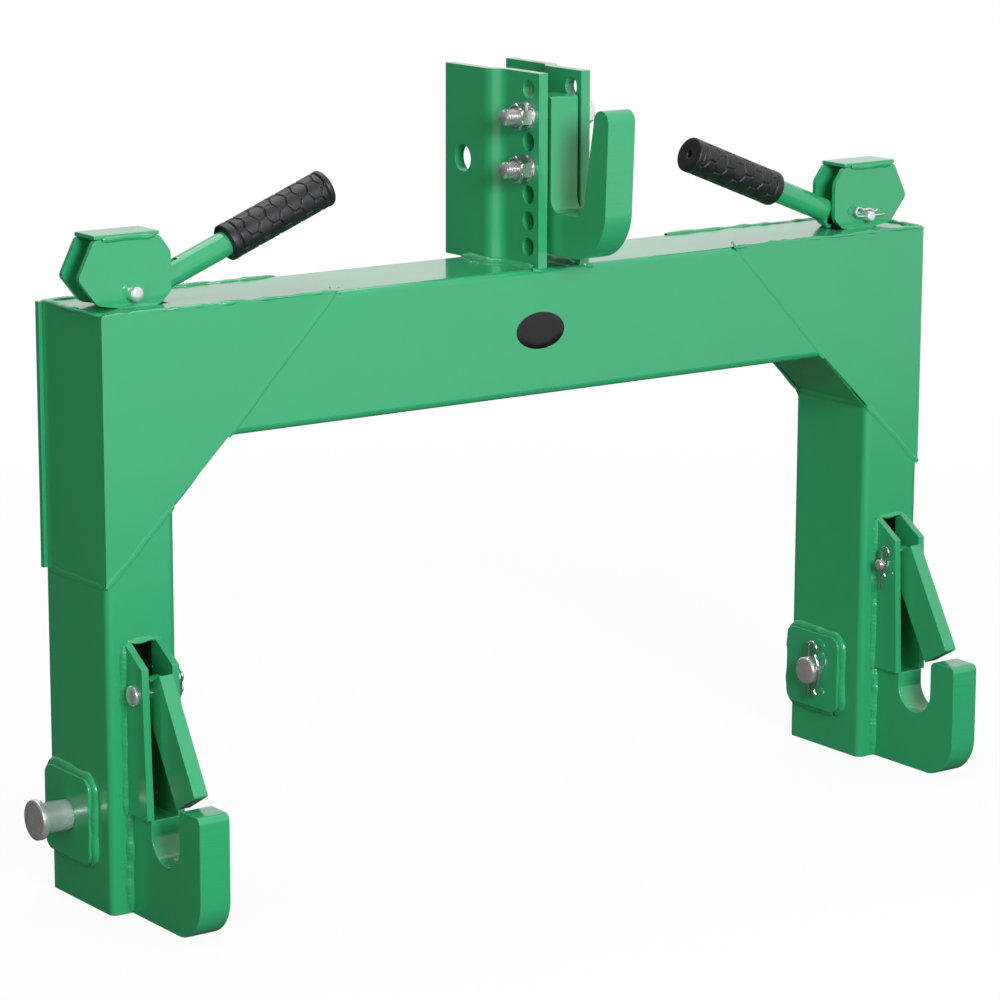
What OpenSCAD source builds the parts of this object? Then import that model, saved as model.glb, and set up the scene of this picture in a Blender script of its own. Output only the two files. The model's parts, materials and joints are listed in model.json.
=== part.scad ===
/* [Frame] */
// Distance between the centres of the two legs
leg_spacing = 683; // [600:1:900]
// Width of a leg tube
leg_w = 55; // [52:1:70]
// Depth of the leg and beam tubes, front to rear
tube_d = 85; // [80:1:110]
// Wall of the leg and beam tubes
tube_wall = 4; // [3:0.5:5]
// Outer corner radius of the tubes
tube_r = 5; // [4:0.5:8]
// Height of the frame to the top of the beam
frame_h = 421; // [380:1:520]
// Height of the beam tube
beam_h = 93; // [80:1:110]

/* [Corner boxes] */
// Reach of a corner box along the top, from the outer face of the leg
corner_w = 188; // [170:1:240]
// Reach of a corner box down the outer face of the leg
corner_drop = 187.5; // [170:0.5:200]
// Distance from the outer face of the leg to the lower end of the seam on the beam
corner_foot = 99; // [80:1:120]
// Thickness of the plates that make a corner box
corner_t = 4; // [3:0.5:5]
// Thickness of the plate on the outer side of a corner box
side_t = 4; // [3:0.5:5]
// How far the rear plate stands out beside the leg
rear_over = 3; // [0:0.5:6]

/* [Mast] */
// Distance of the mast's centre from the middle of the beam, towards the right
mast_x = 18; // [-20:1:30]
// Height of the mast above the beam
mast_h = 141.5; // [141:0.5:170]
// Thickness of a mast plate
mast_t = 8; // [6:0.5:10]
// Clear width between the front stretches of the mast plates
mast_gap = 30; // [27:0.5:36]
// Sideways step of each plate at its bend
mast_jog = 8.5; // [6:0.5:14]
// Length along each side of a bend that its rounding takes
mast_bend_r = 5; // [2:0.5:5.5]
// Place of the bend behind the middle of the beam, on the inner face
mast_bend_y = 3; // [0:0.5:8]
// Rear edge of the mast plates behind the middle of the beam
mast_rear = 62; // [55:1:75]
// Diameter of a bolt hole in the mast and the top hook
bolt_hole_d = 13.5; // [12.5:0.1:14]
// Number of bolt holes in the row
bolt_hole_n = 7; // [6:1:7]
// Distance between neighbouring bolt holes
bolt_pitch = 19.05; // [18:0.05:19.5]
// Height of the lowest bolt hole above the beam
bolt_low = 14.9; // [14:0.1:17]
// Distance of the bolt holes behind the front edge of the mast
bolt_back = 12.5; // [11:0.5:14]
// Diameter of the hole for the top link's pin
top_link_d = 20; // [19.2:0.1:26]
// Place of the top link's hole behind the middle of the beam
top_link_y = 40; // [32:1:44]
// Height of the top link's hole above the beam
top_link_h = 73; // [50:1:100]

/* [Top hook] */
// Thickness of the top hook
top_hook_t = 24; // [20:0.5:26]
// Height of the top hook
top_hook_h = 114; // [108:1:116]
// Clearance between the top hook's bottom and the beam
top_hook_lift = 10; // [2:1:12]
// Reach of the top hook in front of the mast
top_hook_reach = 65; // [60:1:84]
// How much further than its foot the hook's tip reaches
tongue_out = 2.6; // [0:0.2:5]
// Depth of the top hook's shank, front to rear
shank_d = 27.5; // [24:0.5:30]
// Height of the pocket's floor above the hook's bottom
pocket_floor = 31; // [26:1:36]
// Width of the pocket near its floor
pocket_w = 38; // [34:0.5:46]
// Radius of the two corners of the pocket's floor
pocket_r = 10; // [6:1:14]
// Lean of the tongue's inner face from the vertical
tongue_lean = 10; // [5:0.1:14]
// Height of the tongue's rounding above the hook's bottom
tongue_h = 101; // [95:1:104]
// Radius of the hook's outer curve
top_hook_r = 38; // [30:1:50]

/* [Bolts] */
// Diameter of a bolt
bolt_d = 12; // [11:0.1:12.4]
// Width of a nut or a bolt head across its flats
bolt_flats = 19; // [17:0.5:20]
// Height of a bolt head
bolt_head_h = 7.5; // [6:0.5:9]
// Height of a nut
nut_h = 10; // [8:0.5:12]
// Thickness of a washer
washer_t = 2.5; // [1.5:0.5:3]
// Diameter of a washer
washer_d = 21; // [20:0.5:26]
// Length of thread that stands out past a nut
thread_out = 11; // [4:1:16]

/* [Lower hooks] */
// Thickness of a lower hook
hook_t = 24; // [22:0.5:28]
// Reach of a lower hook in front of the leg
hook_reach = 91.5; // [86:0.5:100]
// Width of the slot for the implement's pin
throat_w = 36.5; // [30:0.5:38]
// Distance from the leg's front to the middle of the slot
throat_out = 46.5; // [42:0.5:50]
// Height of the middle of the slot's round bottom
throat_z = 64; // [58:0.5:70]
// Height of the hook's shoulder behind the slot
shoulder_z = 73.5; // [68:0.5:80]
// Height of the hook's arm in front of the slot
arm_z = 90.5; // [84:0.5:98]
// Radius of the hook's lower front corner
hook_corner_r = 30; // [20:1:34]
// Radius of the two corners on the arm's top
arm_r = 5; // [3:0.5:10]

/* [Latches] */
// Height of the latch's pivot
latch_z = 159.5; // [156:0.5:162]
// Distance of the latch's pivot in front of the leg
latch_out = 12.5; // [11:0.5:14]
// Thickness of a cheek plate
cheek_t = 5.5; // [4:0.25:6]
// Height of the cheeks at the leg
cheek_top = 194.5; // [190:0.5:200]
// Height of the cheeks' front corner
cheek_front_z = 179.5; // [174:0.5:184]
// Reach of the cheeks in front of the leg at that corner
cheek_reach = 23.5; // [21:0.5:26]
// Reach of the cheeks in front of the leg at the shoulder
cheek_foot = 28; // [25:0.5:28]
// Thickness of the latch
latch_t = 11; // [9:0.5:14]
// Distance between the outer faces of the cheeks
cheek_w = 30; // [28:0.5:32]
// Lean of the latch from the vertical
latch_lean = 30.2; // [28:0.1:32]
// Width of the latch's blade
latch_w = 28; // [24:0.5:29]
// Distance of the blade's front face from the pivot
latch_front = 24; // [20:0.5:25]
// Reach of the blade below the pivot, along its lean
latch_len = 83; // [80:0.5:84]
// Radius of the latch's boss round its pivot
latch_boss_r = 12; // [9:0.5:13]
// Horizontal reach of the latch's tail behind the pivot
tail_back = 20.5; // [20:0.5:22]
// Drop of the hole in the latch's tail below the pivot
tail_drop = 6.5; // [4:0.5:8]
// Radius of the tail's round end
tail_r = 6.5; // [5.5:0.25:7]
// How far the rod can slide along its slot in the tail
tail_slot = 1.8; // [1:0.1:2.2]
// Diameter of the latch pin
latch_pin_d = 8; // [6:0.5:10]
// Diameter of the latch pin's head
latch_head_d = 14.5; // [12:0.5:18]
// Height of the latch pin's head
latch_head_h = 3; // [2:0.5:5]

/* [Link pins] */
// Diameter of a link pin
link_pin_d = 22; // [19:0.5:28]
// Diameter of a link pin's head
link_head_d = 29; // [26:0.5:38]
// Thickness of a link pin's head
link_head_t = 5; // [4:0.5:8]
// Height of the link pins
link_z = 62; // [55:1:75]
// Place of the link pins behind the middle of the leg
link_y = 10.5; // [-5:0.5:14]
// Length of link pin that stands out between the doubler and the head
link_out = 21.5; // [15:0.5:40]
// Length of link pin past the inner doubler
link_in = 8; // [7:0.5:14]
// Side of a doubler plate
doubler_w = 62; // [50:1:70]
// Thickness of a doubler plate
doubler_t = 5; // [3:0.5:8]
// Radius of a doubler plate's corners
doubler_r = 9; // [5:1:14]
// Wire of the link pins' clips
link_clip_d = 3; // [2:0.5:4]

/* [Lever brackets] */
// Middle of a bracket behind the middle of the beam
bracket_y = -4; // [-8:0.5:8]
// Clear width between the bracket's front and rear plates
bracket_gap = 19; // [18.5:0.5:26]
// Thickness of the bracket's plates
bracket_t = 4; // [3:0.5:5]
// Height of a bracket above the beam
bracket_h = 48; // [42:1:56]
// Thickness of the plate on top of the bracket
bracket_cap_t = 3; // [2:0.5:5]
// Reach of a bracket inboard of the leg's centre
bracket_in = 42.5; // [40:0.5:50]
// Reach of a bracket outboard of the leg's centre
bracket_out = 30.5; // [24:0.5:34]
// Distance of the lever's pivot inboard of the leg's centre
pivot_in = 12; // [8:0.5:16]
// Height of the lever's pivot above the beam
pivot_h = 9.5; // [9.5:0.5:12]
// Diameter of a lever pin
lever_pin_d = 8; // [6:0.5:9]
// Diameter of a lever pin's head
lever_head_d = 10.5; // [10:0.5:14]
// Height of a lever pin's head
lever_head_h = 7.5; // [2:0.5:9]

/* [Levers] */
// Rise of a lever from the horizontal
lever_rise = 21.5; // [15:0.5:26]
// Diameter of a lever's bar
bar_d = 18; // [14:0.5:18]
// Distance of the bar's axis below the pivot
bar_drop = 6.5; // [2:0.5:7]
// Distance from the pivot to the bar's lower end
bar_start = 31; // [31:0.5:40]
// Thickness of a lever's plate
lever_plate_t = 6; // [5:0.5:10]
// Radius of the plate's round end
lever_boss_r = 9; // [7:0.5:9]
// Length of the slot that holds the plate in the bar
bar_slot = 15; // [10:0.5:20]
// Distance from the pivot to the pull rod's hole
rod_hole_out = 24.4; // [24:0.1:25]
// Dip of the pull rod's hole below the pivot, as an angle
rod_hole_dip = 8; // [7:0.5:9]
// How far the rod can slide along its slot in the lever
rod_slot = 2.6; // [2:0.1:3]
// How far beyond the rod at rest the middle of that slot lies
rod_slot_out = 0.7; // [0.5:0.1:0.9]
// Distance from the pivot to the start of the grip
grip_start = 86; // [76:1:110]
// Length of a grip
grip_l = 89; // [80:1:120]
// Diameter of a grip's middle
grip_d = 26; // [22:0.5:29]
// Diameter of a grip's two ends
grip_end_d = 27.5; // [27:0.5:36]
// Length of each thick end of a grip
grip_end_l = 9; // [6:0.5:14]
// Thickness of a grip's end cap
grip_cap = 5; // [3:0.5:8]
// Diameter of the small hole in the end cap
grip_hole_d = 5; // [3:0.5:8]

/* [Pull rods] */
// Diameter of a pull rod
rod_d = 5; // [4:0.25:5.5]
// Distance of the rod's straight part behind the leg's front
rod_back = 12.5; // [12:0.5:16]
// Height of the guide plate in the leg
guide_z = 228; // [215:1:229]
// Thickness of the guide plate
guide_t = 4; // [3:0.5:4.5]
// Outer diameter of a return spring
spring_d = 10.5; // [9.5:0.25:12]
// Wire of a return spring
spring_wire = 1.5; // [1:0.1:1.6]
// Turns of a return spring
spring_turns = 7; // [5:1:9]
// Length of a return spring at rest
spring_l = 42; // [36:1:44]
// Diameter of the collar under the spring
collar_d = 12; // [12:0.5:16]
// Thickness of the collar
collar_t = 3; // [2:0.5:5]

/* [Hidden] */
$fn = 48;

// Radial play of a pin that turns or slides in its hole
running = 0.05;
// Extra diameter of a hole that a pin only passes through
loose = 0.2;

leg_x = leg_spacing / 2;
out_x = leg_x + leg_w / 2;
in_x = leg_x - leg_w / 2;
half_d = tube_d / 2;
beam_z = frame_h - beam_h;
seam_top = out_x - corner_w;
seam_foot = out_x - corner_foot;
corner_z = frame_h - corner_drop;
corner_slope = atan((beam_z - corner_z) / corner_foot);
mast_face = mast_gap / 2 + mast_t;
bolt_front = half_d - bolt_back;
bolt_rows = [3, 5];
hook_low = frame_h + top_hook_lift;
pocket_z = hook_low + pocket_floor;
tip_z = hook_low + tongue_h;
latch_front_y = half_d + latch_out;
cheek_gap = cheek_w - 2 * cheek_t;
tail_front = latch_front_y - tail_back;
tail_z = latch_z - tail_drop;
rod_front = half_d - rod_back;
pivot_x = leg_x - pivot_in;
pivot_z = frame_h + pivot_h;
rod_hole_x = pivot_x - rod_hole_out * cos(rod_hole_dip);
rod_hole_z = pivot_z - rod_hole_out * sin(rod_hole_dip);
rod_y = bracket_y - lever_plate_t / 2 - rod_d / 2 - 1;
link_clip_x = in_x - doubler_t - link_in / 2;
latch_pin_out = 8;
latch_clip_x = leg_x - cheek_w / 2 - latch_pin_out / 2;
latch_clip_d = 2.2;
lever_clip_d = 2;
lever_pin_out = 9;
lever_clip_in = 4.5;
// How far the bracket's top plate stops short of its inner and outer edge
cap_in = 9;
cap_out = 13;
// Length of each clip's straight leg and radius of its loop
latch_clip = [20, 4];
link_clip = [22, 5];
lever_clip = [16, 3.5];
// Length along each side of a rod's bend that its rounding takes
rod_bend = 3.5;
// Heights above the latch's tail at which the rod leaves the tail's side and is centred
rod_jog = [9, 22];
// Half of the distance that the object reaches further to the front than to the rear
mid_y = (half_d + hook_reach - mast_rear) / 2;

// Seam line between the beam and a corner box
function seam_x(z) = seam_top + (frame_h - z) * (seam_foot - seam_top) / beam_h;
// Cut line of the leg's top, under the corner box
function leg_top(x) = corner_z + (out_x - x) * tan(corner_slope);
// The path of a bent rod: each corner of the route is rounded from a distance r on either side
function rounded(route, r) = concat([route[0]],
    [for (i = [1 : len(route) - 2]) each bend(route[i - 1], route[i], route[i + 1], r)],
    [route[len(route) - 1]]);
function bend(a, b, c, r) = let (p = b + r * unit(a - b), q = b + r * unit(c - b))
    [for (t = [0 : 0.25 : 1]) (1 - t) * (1 - t) * p + 2 * t * (1 - t) * b + t * t * q];
function unit(v) = v / norm(v);
function tangent(path, i) = unit(path[min(i + 1, len(path) - 1)] - path[max(i - 1, 0)]);
// A direction across the path at point i, which turns as little as the path allows
function across(path, i) =
    let (t = tangent(path, i), n = i == 0 ? cross(t, [0.31, 0.52, 0.79]) : across(path, i - 1))
    unit(n - (n * t) * t);
function bolt_z(row) = frame_h + bolt_low + row * bolt_pitch;

// Places with the origin under the middle of the object's outline
module right() { translate([0, mid_y, 0]) children(); }
module left() { translate([0, mid_y, 0]) mirror([1, 0, 0]) children(); }
module centre() { translate([0, mid_y, 0]) children(); }

// Extrudes along X an outline drawn as (distance to the front, height)
module upright(t) { rotate([90, 0, -90]) linear_extrude(t, center = true) children(); }
// Extrudes along Y an outline drawn as (X, height), with its rear face at y
module facing(y, t) { translate([0, y, 0]) rotate([90, 0, 0]) linear_extrude(t) children(); }

module round_rect(w, h, r) {
    square([w - 2 * r, h], center = true);
    square([w, h - 2 * r], center = true);
    for (x = [-1, 1], y = [-1, 1]) translate([x * (w / 2 - r), y * (h / 2 - r)]) circle(r);
}

module tube_outline(w, h) {
    difference() {
        round_rect(w, h, tube_r);
        round_rect(w - 2 * tube_wall, h - 2 * tube_wall, max(tube_r - tube_wall, 0.5));
    }
}

// What an arc of radius r takes off a square corner; sx and sy point to the corner
module corner_off(x, y, r, sx, sy) {
    translate([x - sx * r, y - sy * r])
        difference() {
            translate([sx > 0 ? 0 : -r - 1, sy > 0 ? 0 : -r - 1]) square(r + 1);
            circle(r);
        }
}

// A round wire or rod along a path, as rings of flat faces
module wire(path, d, sides = 8) {
    last = len(path) - 1;
    points = [for (i = [0 : last], j = [0 : sides - 1])
        let (t = tangent(path, i), u = across(path, i), a = 360 * j / sides)
        path[i] + d / 2 * (cos(a) * u + sin(a) * cross(t, u))];
    skin = [for (i = [0 : last - 1], j = [0 : sides - 1])
        let (a = i * sides + j, b = i * sides + (j + 1) % sides)
        each [[a, b + sides, b], [a, a + sides, b + sides]]];
    ends = [[for (j = [0 : sides - 1]) j], [for (j = [0 : sides - 1]) (last + 1) * sides - 1 - j]];
    polyhedron(points, concat(skin, ends));
}

// A spring clip: its straight leg runs along +X through a pin, its other leg bends round the pin
module spring_clip(pin_d, d, leg, loop_r) {
    side = pin_d / 2 + d / 2 + 0.4;
    loop_x = pin_d / 2 + d + loop_r;
    loop = [for (a = [0 : 40 : 240]) [-loop_x - loop_r * sin(a), loop_r - loop_r * cos(a), 0]];
    bend = [[-pin_d * 0.3, side, 0], [pin_d * 0.3, side, 0], [pin_d / 2 + d, side * 0.5, 0],
        [pin_d / 2 + 2.5 * d, side * 0.8, 0]];
    wire(concat([[leg, 0, 0]], loop, bend), d);
}

// Frame tubes
module beam_tube() {
    color("mediumseagreen")
    intersection() {
        translate([0, 0, frame_h - beam_h / 2])
            rotate([90, 0, 90]) linear_extrude(2 * out_x, center = true) tube_outline(tube_d, beam_h);
        facing(tube_d, 2 * tube_d)
            polygon([[-seam_top, frame_h], [seam_top, frame_h], [seam_foot, beam_z], [-seam_foot, beam_z]]);
    }
}

module leg_tube() {
    color("seagreen")
    difference() {
        intersection() {
            translate([leg_x, 0, 0]) linear_extrude(frame_h) tube_outline(leg_w, tube_d);
            facing(tube_d, 2 * tube_d)
                polygon([[in_x, 0], [out_x, 0], [out_x, corner_z], [in_x, leg_top(in_x)]]);
        }
        translate([leg_x - cheek_gap / 2, -half_d - 1, shoulder_z])
            cube([cheek_gap, tube_wall + 2, cheek_top - shoulder_z]);
        link_bore();
    }
}

// The hole through both walls of a leg and its doublers
module link_bore() {
    translate([leg_x, link_y, link_z]) rotate([0, 90, 0])
        cylinder(h = 2 * leg_w, r = link_pin_d / 2 + running, center = true);
}

// Corner boxes
module corner_outline(over = 0) {
    polygon([[seam_top, frame_h], [out_x + over, frame_h], [out_x + over, corner_z],
        [out_x, corner_z], [seam_foot, beam_z]]);
}

module corner_front_plate() {
    color("mediumseagreen") facing(-half_d + corner_t, corner_t) corner_outline();
}

module corner_rear_plate() {
    color("seagreen") facing(half_d, corner_t) corner_outline(rear_over);
}

module corner_top_plate() {
    color("palegreen")
    difference() {
        facing(half_d - corner_t, tube_d - 2 * corner_t)
            intersection() {
                corner_outline();
                translate([0, frame_h - corner_t]) square([out_x, corner_t]);
            }
        rod_opening();
    }
}

// The slot in the top plate that the pull rod rises through
module rod_opening() {
    translate([rod_hole_x - rod_d / 2 - 2, rod_y - 1.3 * rod_d, frame_h - corner_t - 1])
        cube([rod_d + 12, 2.6 * rod_d, corner_t + 2]);
}

module corner_side_plate() {
    color("seagreen")
    facing(half_d - corner_t, tube_d - 2 * corner_t)
        intersection() {
            corner_outline();
            translate([out_x - side_t, corner_z]) square([side_t, corner_drop - corner_t]);
        }
}

// The slanted plate between the beam's underside and the leg's inner wall
module corner_inner_plate() {
    run = (in_x + tube_wall - seam_foot) / cos(corner_slope);
    color("seagreen")
    facing(half_d - corner_t, tube_d - 2 * corner_t)
        intersection() {
            corner_outline();
            translate([seam_foot, beam_z]) rotate(-corner_slope)
                translate([-corner_t * 3, 0]) square([run + corner_t * 3, corner_t]);
        }
}

// Mast
module mast_plate() {
    inner = mast_gap / 2;
    outer_shift = mast_t * tan(22.5);
    bend_end = mast_bend_y + mast_jog;
    color("seagreen")
    difference() {
        translate([0, 0, frame_h]) linear_extrude(mast_h)
            polygon(concat(
                rounded([[inner + mast_t, -half_d], [inner + mast_t, mast_bend_y - outer_shift],
                    [inner + mast_jog + mast_t, bend_end - outer_shift],
                    [inner + mast_jog + mast_t, mast_rear]], mast_bend_r),
                rounded([[inner + mast_jog, mast_rear], [inner + mast_jog, bend_end],
                    [inner, mast_bend_y], [inner, -half_d]], mast_bend_r)));
        for (row = [0 : bolt_hole_n - 1]) bolt_bore(row);
        translate([0, top_link_y, frame_h + top_link_h]) rotate([0, 90, 0])
            cylinder(h = mast_gap * 2, d = top_link_d);
    }
}

module bolt_bore(row) {
    translate([0, -bolt_front, bolt_z(row)]) rotate([0, 90, 0])
        cylinder(h = 3 * mast_gap, d = bolt_hole_d, center = true);
}

// Top hook
module top_hook_outline() {
    lean = tan(tongue_lean);
    front = half_d + top_hook_reach;
    floor_rear = half_d + pocket_r;
    floor_front = half_d + pocket_w - pocket_r * (1 - sin(tongue_lean)) / cos(tongue_lean);
    wall_front = floor_front + pocket_r * cos(tongue_lean);
    wall_z = pocket_z + pocket_r * (1 - sin(tongue_lean));
    top = hook_low + top_hook_h;
    tip_rear = wall_front + (tip_z - wall_z) * lean;
    tip_front = front + tongue_out;
    difference() {
        union() {
            translate([half_d - shank_d, hook_low]) square([shank_d, top_hook_h]);
            polygon([[half_d - 1, hook_low], [front, hook_low], [front, hook_low + top_hook_r],
                [tip_front, tip_z], [half_d - 1, tip_z]]);
            translate([(tip_rear + tip_front) / 2, tip_z]) circle((tip_front - tip_rear) / 2);
        }
        polygon([[half_d, top + 1], [half_d, pocket_z + pocket_r], [floor_rear, pocket_z],
            [floor_front, pocket_z], [wall_front, wall_z], [tip_rear, tip_z],
            [tip_rear, top + 1]]);
        translate([floor_rear, pocket_z + pocket_r]) circle(pocket_r);
        translate([floor_front, pocket_z + pocket_r]) circle(pocket_r);
        corner_off(front, hook_low, top_hook_r, 1, -1);
        corner_off(half_d - shank_d, hook_low, 8, -1, -1);
        corner_off(half_d, top, 2, 1, 1);
    }
}

module top_hook() {
    color("mediumseagreen")
    translate([mast_x, 0, 0])
        difference() {
            upright(top_hook_t) top_hook_outline();
            for (row = bolt_rows) bolt_bore(row);
        }
}

// Bolts through the mast, with their heads on the right
module at_bolts() {
    for (row = bolt_rows) translate([mast_x, -bolt_front, bolt_z(row)]) children();
}

module hex(flats, h) {
    cylinder(h = h, d = flats / cos(30), $fn = 6);
}

module top_hook_bolts() {
    color("silver")
    at_bolts() rotate([0, -90, 0]) {
        translate([0, 0, -mast_face - bolt_head_h]) hex(bolt_flats, bolt_head_h);
        translate([0, 0, -mast_face])
            cylinder(h = 2 * mast_face + washer_t + nut_h + thread_out, d = bolt_d);
    }
}

module top_hook_washers() {
    color("gainsboro")
    at_bolts() rotate([0, -90, 0])
        translate([0, 0, mast_face])
            difference() {
                cylinder(h = washer_t, d = washer_d);
                translate([0, 0, -1]) cylinder(h = washer_t + 2, d = bolt_d);
            }
}

module top_hook_nuts() {
    color("silver")
    at_bolts() rotate([0, -90, 0])
        translate([0, 0, mast_face + washer_t])
            difference() {
                hex(bolt_flats, nut_h);
                translate([0, 0, -1]) cylinder(h = nut_h + 2, d = bolt_d);
            }
}

// Lower hooks
module lower_hook() {
    front = half_d + hook_reach;
    slot = half_d + throat_out;
    arm_rear = slot + throat_w / 2;
    color("mediumseagreen")
    translate([leg_x, 0, 0]) upright(hook_t)
        difference() {
            translate([half_d, 0]) square([hook_reach, arm_z]);
            translate([slot - throat_w / 2, throat_z]) square([throat_w, arm_z]);
            translate([slot, throat_z]) circle(throat_w / 2);
            translate([half_d - 1, shoulder_z]) square([throat_out + 1, arm_z]);
            corner_off(front, 0, hook_corner_r, 1, -1);
            corner_off(front, arm_z, arm_r, 1, 1);
            corner_off(arm_rear, arm_z, arm_r, -1, 1);
        }
}

module latch_cheeks() {
    color("seagreen")
    difference() {
        for (side = [-1, 1]) translate([leg_x + side * (cheek_w - cheek_t) / 2, 0, 0])
            upright(cheek_t)
                polygon([[half_d, shoulder_z], [half_d, cheek_top],
                    [half_d + cheek_reach, cheek_front_z], [half_d + cheek_foot, shoulder_z]]);
        at_latch_pivot() cylinder(h = 2 * cheek_w, r = latch_pin_d / 2 + running, center = true);
    }
}

// Places with +Z along the latch's pivot, pointing outboard
module at_latch_pivot() {
    translate([leg_x, -latch_front_y, latch_z]) rotate([0, 90, 0]) children();
}

// Outline of the latch, with its pivot at the origin
module latch_outline() {
    tail_angle = atan(tail_drop / tail_back);
    tail_l = norm([tail_back, tail_drop]);
    tail_half = tail_r - 0.4;
    circle(latch_boss_r);
    rotate(latch_lean)
        difference() {
            translate([latch_front - latch_w, -latch_len]) square([latch_w, latch_len + 5]);
            corner_off(latch_front, -latch_len, 1.5, 1, -1);
        }
    rotate(tail_angle) translate([-tail_l, -tail_half]) square([tail_l, 2 * tail_half]);
    translate([-tail_back, -tail_drop]) circle(tail_r);
}

module latch() {
    tail_angle = atan(tail_drop / tail_back);
    color("mediumseagreen")
    difference() {
        translate([leg_x, -latch_front_y, latch_z]) upright(latch_t) latch_outline();
        at_latch_pivot() cylinder(h = 2 * cheek_w, r = latch_pin_d / 2 + running, center = true);
        translate([leg_x, -tail_front, tail_z])
            rotate([-tail_angle, 0, 0]) link_slot(rod_d + 4 * loose, tail_slot, hook_t);
    }
}

// A slot along X for the end of a rod, longer along Y than it is wide
module link_slot(d, extra, l) {
    for (y = [-1, 1]) translate([0, y * extra / 2, 0]) rotate([0, 90, 0])
        cylinder(h = l, d = d, center = true);
    cube([l, extra, d], center = true);
}

module latch_pin() {
    color("silver")
    difference() {
        at_latch_pivot() {
            translate([0, 0, -cheek_w / 2 - latch_pin_out])
                cylinder(h = cheek_w + latch_pin_out, d = latch_pin_d);
            translate([0, 0, cheek_w / 2]) cylinder(h = latch_head_h, d = latch_head_d);
        }
        translate([latch_clip_x, -latch_front_y, latch_z])
            cylinder(h = 3 * latch_pin_d, d = latch_clip_d, center = true);
    }
}

module latch_pin_clip() {
    color("gainsboro")
    translate([latch_clip_x, -latch_front_y, latch_z])
        clip_down() spring_clip(latch_pin_d, latch_clip_d, latch_clip[0], latch_clip[1]);
}

// Turns a clip so that its straight leg points down and its bent leg lies to the front
module clip_down() { rotate([0, -90, 0]) rotate([0, 0, 180]) children(); }

// Link pins
module pin_doublers() {
    color("seagreen")
    difference() {
        for (x = [in_x - doubler_t / 2, out_x + doubler_t / 2])
            translate([x, link_y, link_z]) rotate([0, 90, 0])
                linear_extrude(doubler_t, center = true) round_rect(doubler_w, doubler_w, doubler_r);
        link_bore();
    }
}

module link_pin() {
    inner_end = in_x - doubler_t - link_in;
    head_x = out_x + doubler_t + link_out;
    color("silver")
    difference() {
        translate([0, link_y, link_z]) rotate([0, 90, 0]) {
            translate([0, 0, inner_end]) cylinder(h = head_x - inner_end, d = link_pin_d);
            translate([0, 0, head_x]) cylinder(h = link_head_t, d = link_head_d);
        }
        translate([link_clip_x, link_y, link_z])
            cylinder(h = 2 * link_pin_d, d = link_clip_d, center = true);
    }
}

module link_pin_clip() {
    color("gainsboro")
    translate([link_clip_x, link_y, link_z])
        clip_down() spring_clip(link_pin_d, link_clip_d, link_clip[0], link_clip[1]);
}

// Lever brackets
module bracket_outline() {
    w_in = bracket_in;
    w_out = bracket_out;
    translate([leg_x, frame_h])
        polygon(rounded([[0, 0], [9 - w_in, 0], [-w_in, 8], [-w_in, bracket_h - 12],
            [cap_in - w_in, bracket_h], [w_out - cap_out, bracket_h], [w_out, bracket_h * 0.46],
            [w_out - 15, 3], [w_out - 32, 0], [1, 0]], 3));
}

module bracket_side_plate(rear_face) {
    color("seagreen")
    difference() {
        facing(rear_face, bracket_t) bracket_outline();
        translate([pivot_x, bracket_y, pivot_z]) rotate([90, 0, 0])
            cylinder(h = 3 * bracket_gap, r = lever_pin_d / 2 + running, center = true);
    }
}

module bracket_front_plate() { bracket_side_plate(bracket_y - bracket_gap / 2); }

module bracket_rear_plate() { bracket_side_plate(bracket_y + bracket_gap / 2 + bracket_t); }

module bracket_top_plate() {
    depth = bracket_gap + 2 * bracket_t;
    color("palegreen")
    translate([leg_x + cap_in - bracket_in, bracket_y - depth / 2, frame_h + bracket_h])
        cube([bracket_in + bracket_out - cap_in - cap_out, depth, bracket_cap_t]);
}

// A lever pin with its head on the front when flip is 1 and on the rear when it is -1
module lever_pin(flip) {
    reach = bracket_gap / 2 + bracket_t;
    color("silver")
    translate([pivot_x, bracket_y, pivot_z])
        difference() {
            rotate([flip * 90, 0, 0]) {
                translate([0, 0, -reach - lever_pin_out])
                    cylinder(h = 2 * reach + lever_pin_out, d = lever_pin_d);
                translate([0, 0, reach]) cylinder(h = lever_head_h, d = lever_head_d);
            }
            translate([0, flip * (reach + lever_clip_in), 0]) rotate([0, 90, 0])
                cylinder(h = 2 * lever_pin_d, d = lever_clip_d, center = true);
        }
}

module lever_pin_clip(flip) {
    color("gainsboro")
    translate([pivot_x, bracket_y + flip * (bracket_gap / 2 + bracket_t + lever_clip_in), pivot_z])
        rotate([90, 0, 0]) spring_clip(lever_pin_d, lever_clip_d, lever_clip[0], lever_clip[1]);
}

// Places with the lever's pivot at the origin and +Z along its bar, towards the grip
module along_lever() {
    translate([pivot_x, bracket_y, pivot_z]) rotate([0, lever_rise - 90, 0]) children();
}

module lever_bar() {
    color("seagreen")
    along_lever()
        difference() {
            translate([-bar_drop, 0, bar_start])
                cylinder(h = grip_start + grip_l - grip_cap - bar_start, d = bar_d);
            translate([-bar_drop - bar_d, -lever_plate_t / 2, bar_start - 1])
                cube([2 * bar_d, lever_plate_t, bar_slot + 1]);
        }
}

module lever_plate() {
    tongue = bar_d - 4;
    color("mediumseagreen")
    difference() {
        facing(bracket_y + lever_plate_t / 2, lever_plate_t)
            translate([pivot_x, pivot_z]) lever_plate_outline(tongue);
        translate([pivot_x, bracket_y, pivot_z]) rotate([90, 0, 0])
            cylinder(h = 2 * lever_plate_t, r = lever_pin_d / 2 + running, center = true);
        translate([pivot_x, bracket_y, pivot_z]) rotate([0, -rod_hole_dip, 0])
            translate([-rod_hole_out - rod_slot_out, 0, 0]) rotate([0, 0, 90])
                link_slot(rod_d + 4 * loose, rod_slot, 2 * lever_plate_t);
    }
}

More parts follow.
